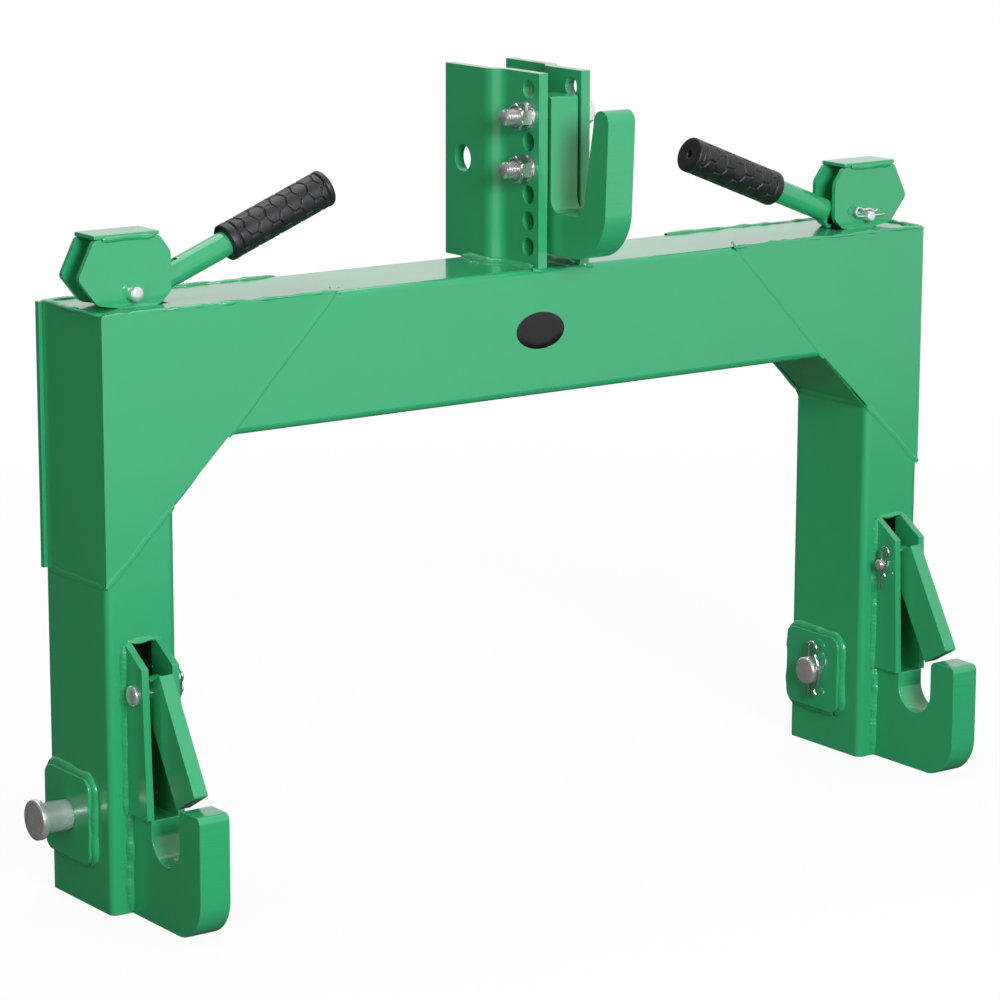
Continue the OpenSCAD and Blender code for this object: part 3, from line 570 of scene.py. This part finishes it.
# A spring clip in its own plane: the straight leg along +u, an eye, and a leg bent round the pin
def clipPath(pinAcross, wire, leg, eye):
    away = pinAcross / 2 + wire / 2 + 0.4 * mm
    far = pinAcross / 2 + wire + eye
    turnBy = np.radians(np.arange(0, 250, 20))
    loop = np.stack([-far - eye * np.sin(turnBy), eye - eye * np.cos(turnBy)], 1)
    hug = [(-pinAcross * 0.3, away), (pinAcross * 0.3, away), (pinAcross / 2 + wire, away * 0.5),
           (pinAcross / 2 + 2.5 * wire, away * 0.8)]
    return eased(np.concatenate([[(leg, 0.0)], loop, hug]), 4 * wire, 5)


# The clip lies across the pin's axis, where the middle of its node's box is
def addClip(pinName, pin, clip, k, body):
    name = pinName + "_clip"
    at = sum(corners(pinName)) / 2
    at[pin["axis"]] = (sum(corners(name)) / 2)[pin["axis"]]
    planes = (((0, 0, -1), (0, -1, 0)), ((k, 0, 0), (0, 0, 1)))
    u, v = np.array(planes[pin["axis"]], float)
    flatPath = clipPath(pin["shank"], clip["wire"], clip["leg"], clip["eye"])
    path = at + flatPath[:, :1] * u + flatPath[:, 1:] * v
    piece = addTube(name + "_wire", tube(path, clip["wire"] / 2, np.cross(u, v)), wireZinc, body)
    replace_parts(piece, name)


for side, k in sides.items():
    bodies = {"link_pin": side + "_link_pin", "latch_pin": "frame", "lever_pin": "frame"}
    for pinName, pin in pins.items():
        addPin(f"{side}_{pinName}", pin, k > 0, bodies[pinName])
    for pinName, pin in pins.items():
        addClip(f"{side}_{pinName}", pin, clips[pinName], k, bodies[pinName])
print("pins and clips made")


# Return springs: a round wire along a helix that rises evenly over its turns. The whole coil rides on the
# rod, with its lower end on the rod's collar.
spring = {"wire": 0.75 * mm, "turns": 7, "steps": 28, "travel": 13.2 * mm}


def addSpring(side):
    low, high = corners(side + "_return_spring")
    middle = (low + high) / 2
    reach = (high[0] - low[0]) / 2 - spring["wire"]
    turn = np.linspace(0, 2 * math.pi * spring["turns"], spring["turns"] * spring["steps"])
    radial = np.stack([np.cos(turn), np.sin(turn), np.zeros_like(turn)], 1)
    path = middle * (1, 1, 0) + reach * radial
    path[:, 2] = np.linspace(low[2] + spring["wire"], high[2] - spring["wire"], len(turn))
    wire = tube(path, spring["wire"], radial)
    coil = addTube(side + "_spring_coil", wire, blackSteel, side + "_rod")
    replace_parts(coil, side + "_return_spring")
    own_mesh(coil)


for side in sides:
    addSpring(side)
print("springs made")


# Grips: raised hexagons on the middle, plain thick ends, a small hole in the end
grip = {"rise": 21.5, "start": 86 * mm, "drop": 6.5 * mm, "length": 89 * mm, "middle": 12.4 * mm,
        "end": 13.5 * mm, "collar": 6.5 * mm, "flange": 4 * mm, "step": 0.8 * mm, "bore": 9 * mm,
        "hole": 2.5 * mm, "holeDeep": 5 * mm, "around": 6, "squash": 0.83, "raise": 0.9 * mm, "groove": 0.08,
        "rows": 250}


# Height of a field of hexagons: 1 on a hexagon and 0 in the grooves, from how much farther the second nearest
# hexagon's middle is than the nearest one's
def hexField(along, around, cell):
    row = math.sqrt(3) / 2 * cell
    best = np.full(along.shape, 9.0)
    second = np.full(along.shape, 9.0)
    for di in (-1, 0, 1):
        for dj in (-1, 0, 1, 2):
            i = np.floor(along / row) + di
            j = np.floor(around / cell - 0.5 * np.mod(i, 2)) + dj
            away = np.hypot(along - i * row, around - (j + 0.5 * np.mod(i, 2)) * cell) / cell
            nearer = away < best
            second = np.where(nearer, best, np.minimum(second, away))
            best = np.where(nearer, away, best)
    return np.clip((second - best - grip["groove"] * 0.5) / grip["groove"], 0, 1)


# The profile's radius, and the hexagons' height on the middle's outside
def gripRadius(s, a, r):
    cell = 2 * math.pi / grip["around"]
    scale = grip["middle"] * grip["squash"]
    field = hexField(s / scale, a, cell)
    ends = np.clip((s - grip["collar"] - grip["step"]) / mm, 0, 1)
    ends = ends * np.clip((grip["length"] - grip["flange"] - grip["step"] - s) / mm, 0, 1)
    outside = r > grip["middle"] * 0.97
    return r + grip["raise"] * field * ends * outside


def gripProfile():
    length, middle, end, step = (grip[key] for key in ("length", "middle", "end", "step"))
    collar, flange = grip["collar"], length - grip["flange"]
    lead = eased([(0, grip["bore"]), (0, end), (collar, end), (collar + step, middle)], 1.6 * mm)[:-1]
    rows = np.linspace(collar + step, flange - step, grip["rows"])
    plain = np.stack([rows, np.full_like(rows, middle)], 1)
    deep = length - grip["holeDeep"]
    tail = eased([(flange - step, middle), (flange, end), (length, end), (length, grip["hole"]),
                  (deep, grip["hole"]), (deep, grip["bore"] - 0.1 * mm)], 1.5 * mm)[1:]
    return np.concatenate([lead, plain, tail])


def addGrip(side, k):
    rise = math.radians(grip["rise"])
    axis = np.array([-k * math.cos(rise), 0, math.sin(rise)])
    below = np.array([-k * math.sin(rise), 0, -math.cos(rise)])
    lift = next(joint for joint in frame["joints"] if joint["name"] == side + "_lever_lift")
    start = np.array(lift["pos_m"]) + axis * grip["start"] + below * grip["drop"]
    grid = turned(gripProfile(), start, axis, 216, gripRadius, up=(0, 1, 0))
    piece = joinGrids(side + "_grip_moulded", [grid], rubber, side + "_lever", 60)
    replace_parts(piece, side + "_grip")


for side, k in sides.items():
    addGrip(side, k)
print("grips made")


# Oval label on the beam: an ellipse whose rim is rounded over the film's thickness
oval = {"place": (-2.7 * mm, 376 * mm), "half": (21.5 * mm, 13.5 * mm), "thick": 0.35 * mm}


def addLabel():
    angle = np.linspace(0, 2 * math.pi, 96, endpoint=False)
    rings = np.array([(1.0, 0.0), (1.0, 0.7), (0.985, 1.0), (0.6, 1.0), (0.0, 1.0)])
    r, a = np.meshgrid(rings[:, 0], angle, indexing="ij")
    out = np.broadcast_to(rings[:, 1:2], r.shape)
    x = oval["place"][0] + oval["half"][0] * r * np.cos(a)
    z = oval["place"][1] + oval["half"][1] * r * np.sin(a)
    y = corners("beam_tube")[0][1] - oval["thick"] * out + 0.02 * mm
    joinGrids("oval_label", [np.stack([x, y, z], -1)], label, "frame")


addLabel()
print("label made")


# Weld beads. A bead is a flattened tube along a route, half sunk in the steel. Its section is an ellipse,
# whose height follows overlapping ripples, and both height and width a slow random wander.
weld = {"step": 0.9 * mm, "columns": 10, "ripple": 3.2 * mm, "seed": 11}

# Width and height of each kind of bead in millimetres, and how uneven it is
beads = {
    "beamSeam": (5, 0.28, 0.8), "legSeam": (5.5, 0.3, 1.0), "sideSeam": (5, 0.3, 0.8),
    "topEdge": (5.5, 1.4, 2.0), "innerEdge": (4, 0.7, 1.0), "outerEdge": (6, 1.7, 1.3),
    "innerFoot": (7, 1.4, 1.0), "innerHead": (7, 1.5, 1.0),
    "doubler": (9, 3.2, 0.9),
    "hook": (11, 3.4, 1.1), "cheek": (8.5, 2.8, 1.2), "shoulder": (6, 1.6, 1.6), "cheekTop": (5, 1.5, 1.6),
    "hookFoot": (4, 0.8, 1.0),
    "bracketFoot": (4.5, 1.5, 1.0), "bracketCap": (4.5, 1.9, 1.5),
    "mast": (9, 3.0, 1.0), "mastFront": (7, 2.0, 1.4),
}
random = np.random.default_rng(weld["seed"])


# Smooth random values along a bead: a coarse random row stretched over the bead's length
def wander(length, pitch, amount):
    knots = random.uniform(-1, 1, max(int(length[-1] / pitch) + 3, 4))
    return amount * np.interp(length, np.linspace(0, length[-1], len(knots)), knots)


def bead(kind, route, out):
    width, height, rough = beads[kind]
    width, height = width * mm, height * mm
    route = np.asarray(route, float)
    if len(route) > 2:
        route = eased(route, 3 * mm, 4)
    away = np.concatenate([[0], np.cumsum(np.linalg.norm(np.diff(route, axis=0), axis=1))])
    steps = max(int(away[-1] / weld["step"]), 6)
    s = np.linspace(0, away[-1], steps)
    path = np.stack([np.interp(s, away, route[:, i]) for i in range(3)], 1)
    along = np.gradient(path, axis=0)
    along /= np.linalg.norm(along, axis=1)[:, None]
    out = unit(np.asarray(out, float))
    up = out - (along @ out)[:, None] * along
    up /= np.linalg.norm(up, axis=1)[:, None]
    side = np.cross(along, up)
    ends = np.clip(np.minimum(s, s[-1] - s) / (1.5 * width) + 0.35, 0, 1) ** 0.5
    wide = width / 2 * ends * (1 + wander(s, 9 * mm, 0.16 * rough))
    tall = height * ends * (1 + wander(s, 7 * mm, 0.25 * rough))
    path = path + side * wander(s, 14 * mm, 0.12 * width * rough)[:, None]
    angle = np.linspace(0, 2 * math.pi, weld["columns"], endpoint=False)[None]
    phase = s[:, None] / weld["ripple"] + 0.4 * np.cos(angle) ** 2 + wander(s, 20 * mm, 0.5)[:, None]
    ripple = 1 - 0.12 * np.mod(phase, 1) ** 2
    points = path[:, None] + (wide[:, None] * np.cos(angle))[..., None] * side[:, None]
    return points + (tall[:, None] * ripple * np.sin(angle))[..., None] * up[:, None]


# Small drops thrown off beside a weld: rounded bumps, each a coarse dome on the steel
def drops(centre, out, spread, count, size):
    out = np.asarray(out, float)
    across = unit(np.cross(out, (0.3, 0.5, 0.81)))
    other = np.cross(out, across)
    place = random.uniform(-1, 1, (count, 2)) * spread
    grids = []
    for (u, v), r in zip(place, random.uniform(0.4, 1.0, count) * size):
        dome = [(-0.6 * r, 0), (-0.4 * r, 0.8 * r), (0, r), (0.5 * r, 0.75 * r), (0.75 * r, 0)]
        grids.append(turned(dome, np.asarray(centre, float) + u * across + v * other, out, 8))
    return grids


beamLow, beamHigh = corners("beam_tube")
front, rear, top, under = beamLow[1], beamHigh[1], beamHigh[2], beamLow[2]
middleY = (front + rear) / 2
forward, backward, upward = (0, -1, 0), (0, 1, 0), (0, 0, 1)


# Seams of a corner's plates. The corner's edge slopes from the beam's foot down to the leg's outer wall.
def cornerWelds(side, k):
    low, high = corners(side + "_corner_front_plate")
    legLow, legHigh = corners(side + "_leg_tube")
    near, far = sorted((abs(low[0]), abs(high[0])))
    legIn = min(abs(legLow[0]), abs(legHigh[0]))
    foot = max(abs(beamLow[0]), abs(beamHigh[0]))
    slope = (under - low[2]) / (far - foot)
    legTop = under - (legIn - foot) * slope
    grids = []
    for y, out in ((front, forward), (rear, backward)):
        flush, edge, inset = y - out[1] * 0.1 * mm, y - out[1] * 2.4 * mm, y - out[1] * 3 * mm
        seam = [(k * (legIn + 1 * mm), flush, legTop - 1 * mm), (k * far, flush, low[2])]
        grids.append(bead("beamSeam", [(k * near, flush, top), (k * foot, flush, under)], out))
        grids.append(bead("legSeam", seam, out))
        ridge = [(k * (near - 3 * mm), edge, top), (k * (far - 1 * mm), edge, top)]
        grids.append(bead("topEdge", ridge, upward))
        inner = [(k * (legIn - 0.2 * mm), inset, legTop - 2 * mm),
                 (k * (foot + 1.0 * mm), inset, under - 0.5 * mm)]
        grids.append(bead("innerEdge", inner, (-k, 0, -1)))

    def crossing(kind, x, gap, z, out):
        return bead(kind, [(x, front + gap, z), (x, rear - gap, z)], out)

    sideFoot = corners(side + "_corner_side_plate")[0][2] - 0.5 * mm
    grids.append(crossing("outerEdge", k * (far - 2 * mm), 2 * mm, top, upward))
    grids.append(crossing("sideSeam", k * far, 5 * mm, sideFoot, (k, 0, 0)))
    grids.append(crossing("innerFoot", k * legIn, 3 * mm, legTop, (-k, 0, -0.2)))
    grids.append(crossing("innerHead", k * foot, 3 * mm, under, (-k * 0.2, 0, -1)))
    grids += drops((k * near, front + 2 * mm, top), (0, -0.7, 0.7), 5 * mm, 5, 1.3 * mm)
    grids += drops((k * (far - 7 * mm), front + 8 * mm, top), upward, 5 * mm, 6, 1.4 * mm)
    return grids


# A bead round each doubler, which has its corners cut
def doublerWelds(side):
    low, high = corners(side + "_pin_doublers")
    legLow, legHigh = corners(side + "_leg_tube")
    y0, y1, z0, z1 = low[1], high[1], low[2], high[2]
    cut = 7 * mm
    grids = []
    for x, out in ((legLow[0], -1.0), (legHigh[0], 1.0)):
        ring = [(y0 + cut, z0), (y1 - cut, z0), (y1, z0 + cut), (y1, z1 - cut), (y1 - cut, z1),
                (y0 + cut, z1), (y0, z1 - cut), (y0, z0 + cut), (y0 + cut, z0 - 0.2 * mm)]
        grids.append(bead("doubler", [(x, y, z) for y, z in ring], (out, 0, 0)))
        for y, z in ((y0, z1 - cut), (y1 - cut, z1), (y1, z0 + cut)):
            grids += drops((x, y, z), (out, 0, 0), 3 * mm, 3, 1.1 * mm)
    return grids


# Beads up both sides of a hook to its shoulder, on up the latch cheeks' outer faces, and along the shoulder
def hookWelds(side):
    low, high = corners(side + "_lower_hook")
    cheekLow, cheekHigh = corners(side + "_latch_cheeks")
    shoulder, crown = cheekLow[2], cheekHigh[2]
    grids = []
    for x, cheekX, out in ((low[0], cheekLow[0], -1.0), (high[0], cheekHigh[0], 1.0)):
        grids.append(bead("hook", [(x, front, low[2] + 2 * mm), (x, front, shoulder)], (out, -1, 0)))
        upper = [(cheekX, front, shoulder - 2 * mm), (cheekX, front, crown - 1 * mm)]
        grids.append(bead("cheek", upper, (out, -1, 0)))
        for share in (0.2, 0.45, 0.6, 0.9):
            at = (x + out * 3 * mm, front, low[2] + share * (crown - low[2]))
            grids += drops(at, forward, 7 * mm, 4, 0.9 * mm)
        ledge = [(x, front - 1 * mm, shoulder), (x, front - 26 * mm, shoulder)]
        grids.append(bead("shoulder", ledge, (out, 0, 0.1)))
        at = (x + out * 0.2 * mm, front - 12 * mm, shoulder + 4 * mm)
        grids += drops(at, (out, 0, 0), 8 * mm, 4, 0.8 * mm)
    grids.append(bead("cheekTop", [(low[0], front, crown), (high[0], front, crown)], (0, -1, 1)))
    foot = 3 * mm
    grids.append(bead("hookFoot", [(low[0] + 2 * mm, front, foot), (high[0] - 2 * mm, front, foot)], forward))
    return grids


def bracketWelds(side, k):
    frontLow, frontHigh = corners(side + "_bracket_front_plate")
    rearHigh = corners(side + "_bracket_rear_plate")[1]
    capLow, capHigh = corners(side + "_bracket_top_plate")
    inner, outer = sorted((abs(frontLow[0]), abs(frontHigh[0])))
    eaves = capLow[2] - 0.4 * mm
    grids = []
    for y, out in ((frontLow[1], -1.0), (rearHigh[1], 1.0)):
        foot = [(k * (inner + 12 * mm), y, top), (k * (outer - 34 * mm), y, top)]
        grids.append(bead("bracketFoot", foot, (0, out, 0.8)))
        cap = [(capLow[0] + 6 * mm, y, eaves), (capHigh[0] - 4 * mm, y, eaves)]
        grids.append(bead("bracketCap", cap, (0, out, -0.7)))
    return grids


# The mast plates' thickness, and where their lower edges bend and by how much
mastFoot = {"thick": 8 * mm, "jog": 8.5 * mm, "bend": 3 * mm, "outerNudge": -3.3 * mm}


def mastWelds():
    thick, jog = mastFoot["thick"], mastFoot["jog"]
    grids = []
    for side, k in sides.items():
        low, high = corners(side + "_mast_plate")
        inner, outer = (low[0], high[0]) if k > 0 else (high[0], low[0])
        for x, out, nudge in ((inner + k * thick, k, mastFoot["outerNudge"]), (inner, -k, 0.0)):
            bendY = middleY + mastFoot["bend"]
            route = [(x, front + 5 * mm, top), (x, bendY + nudge, top),
                     (x + k * jog, bendY + jog + nudge, top), (x + k * jog, rear - 3 * mm, top)]
            grids.append(bead("mast", route, (out, 0, 1.0)))
        grids += drops((outer + k * 6 * mm, middleY + 8 * mm, top), upward, 9 * mm, 6, 1.2 * mm)
        route = [(inner - k * 0.5 * mm, front + 2.2 * mm, top - 0.6 * mm),
                 (inner + k * (thick + 4 * mm), front + 2.4 * mm, top - 0.6 * mm)]
        grids.append(bead("mastFront", route, (0, -0.6, 1)))
    return grids


for side, k in sides.items():
    made = cornerWelds(side, k) + doublerWelds(side) + hookWelds(side) + bracketWelds(side, k)
    joinGrids(side + "_weld_beads", made, weldPaint, "frame", 80)
joinGrids("mast_weld_beads", mastWelds(), weldPaint, "frame", 80)
print("weld beads made")


# Floor, background and lamps. The shiny paint mirrors a bright room in front and a dark one behind, on the
# left.
studio = {
    "floor": (0.93, 0.93, 0.93),
    "half": 6.0,
    "bounce": (0.36, 0.33, 0.27),
    "white": {"near": 0.92, "start": 0.5, "length": 1.2},
    "mirror": {"bright": 0.95, "dark": 0.05, "start": -1.7, "length": 1.3},
    "sky": {"bright": 0.9, "dark": 0.14, "start": -0.5, "length": 0.75},
    "key": {"place": (-0.55, -2.7, 1.3), "size": 1.1, "power": 74, "color": (0.96, 1.0, 1.12)},
    "top": {"place": (0.2, 0.6, 2.4), "size": 2.0, "power": 22, "color": (1.0, 1.0, 1.0)},
    "fill": {"place": (-2.6, -1.4, 1.2), "size": 1.6, "power": 11, "color": (1.1, 1.0, 0.85)},
    "aim": (0, 0, 0.25),
    "ambient": 0.32,
}


# A value that runs smoothly from one level to the other while the input crosses a stretch
def rampNode(tree, value, start, length, fromLevel, toLevel):
    node = addNode(tree, "ShaderNodeMapRange", {"interpolation_type": "SMOOTHSTEP", "clamp": True},
                   From_Min=start, From_Max=start + length, To_Min=fromLevel, To_Max=toLevel)
    tree.links.new(value, node.inputs["Value"])
    return node.outputs[0]


def pick(tree, factor, a, b):
    node = addNode(tree, "ShaderNodeMixShader")
    for socket, source in zip(node.inputs, (factor, a, b)):
        tree.links.new(source, socket)
    return node.outputs[0]


# To the camera the floor is nearly white, and quite white farther off. In the paint's gloss it is a soft
# gradient, and the light that it throws back is dim.
def floorMaterial():
    material, tree, shader = newMaterial("paleFloor")
    shader.inputs["Base Color"].default_value = (*studio["floor"], 1)
    shader.inputs["Roughness"].default_value = 0.9
    path = tree.nodes.new("ShaderNodeLightPath")
    place = tree.nodes.new("ShaderNodeTexCoord").outputs["Object"]
    split = tree.nodes.new("ShaderNodeSeparateXYZ")
    tree.links.new(place, split.inputs[0])
    away = addNode(tree, "ShaderNodeVectorMath", {"operation": "LENGTH"})
    tree.links.new(place, away.inputs[0])
    white, mirror = studio["white"], studio["mirror"]
    share = rampNode(tree, away.outputs["Value"], white["start"], white["length"], white["near"], 1.0)
    seen = pick(tree, share, shader.outputs[0], addNode(tree, "ShaderNodeEmission", Strength=1.0).outputs[0])
    glow = addNode(tree, "ShaderNodeEmission")
    depth = split.outputs["Y"]
    level = rampNode(tree, depth, mirror["start"], mirror["length"], mirror["bright"], mirror["dark"])
    tree.links.new(level, glow.inputs["Strength"])
    dull = addNode(tree, "ShaderNodeBsdfDiffuse", Color=(*studio["bounce"], 1))
    other = pick(tree, path.outputs["Is Glossy Ray"], dull.outputs[0], glow.outputs[0])
    surface = pick(tree, path.outputs["Is Camera Ray"], other, seen)
    tree.links.new(surface, tree.nodes["Material Output"].inputs["Surface"])
    return material


def addFloor():
    half = studio["half"]
    mesh = bpy.data.meshes.new("floor")
    square = [(-half, -half, 0), (half, -half, 0), (half, half, 0), (-half, half, 0)]
    mesh.from_pydata(square, [], [(0, 1, 2, 3)])
    mesh.materials.append(floorMaterial())
    floor = bpy.data.objects.new("floor", mesh)
    bpy.context.collection.objects.link(floor)


def addLamp(name):
    values = studio[name]
    data = bpy.data.lights.new(name, "AREA")
    data.shape = "DISK"
    data.size = values["size"]
    data.energy = values["power"]
    data.color = values["color"]
    lamp = bpy.data.objects.new(name, data)
    aim = Vector(studio["aim"]) - Vector(values["place"])
    turn = aim.to_track_quat("-Z", "Y").to_matrix().to_4x4()
    lamp.matrix_world = Matrix.Translation(values["place"]) @ turn
    bpy.context.collection.objects.link(lamp)


# White to the camera, a bright or dark room in the paint's gloss, and a dim even light otherwise
def addWorld():
    world = bpy.data.worlds.new("studio")
    world.use_nodes = True
    bpy.context.scene.world = world
    tree = world.node_tree
    background = tree.nodes["Background"]
    path = tree.nodes.new("ShaderNodeLightPath").outputs
    split = tree.nodes.new("ShaderNodeSeparateXYZ")
    tree.links.new(tree.nodes.new("ShaderNodeTexCoord").outputs["Generated"], split.inputs[0])
    sky = studio["sky"]
    room = rampNode(tree, split.outputs["X"], sky["start"], sky["length"], sky["dark"], sky["bright"])
    seen = mathNode(tree, "MAXIMUM", path["Is Camera Ray"], path["Is Transmission Ray"])
    shiny = mathNode(tree, "MULTIPLY", path["Is Glossy Ray"], room)
    plain = mathNode(tree, "SUBTRACT", 1.0, mathNode(tree, "MAXIMUM", seen, path["Is Glossy Ray"]))
    ambient = mathNode(tree, "MULTIPLY", plain, studio["ambient"])
    strength = mathNode(tree, "ADD", mathNode(tree, "ADD", seen, shiny), ambient)
    background.inputs["Color"].default_value = (1, 1, 1, 1)
    tree.links.new(strength, background.inputs["Strength"])


addFloor()
for lampName in ("key", "top", "fill"):
    addLamp(lampName)
addWorld()
bpy.context.scene.view_settings.view_transform = "Standard"
print("studio set")
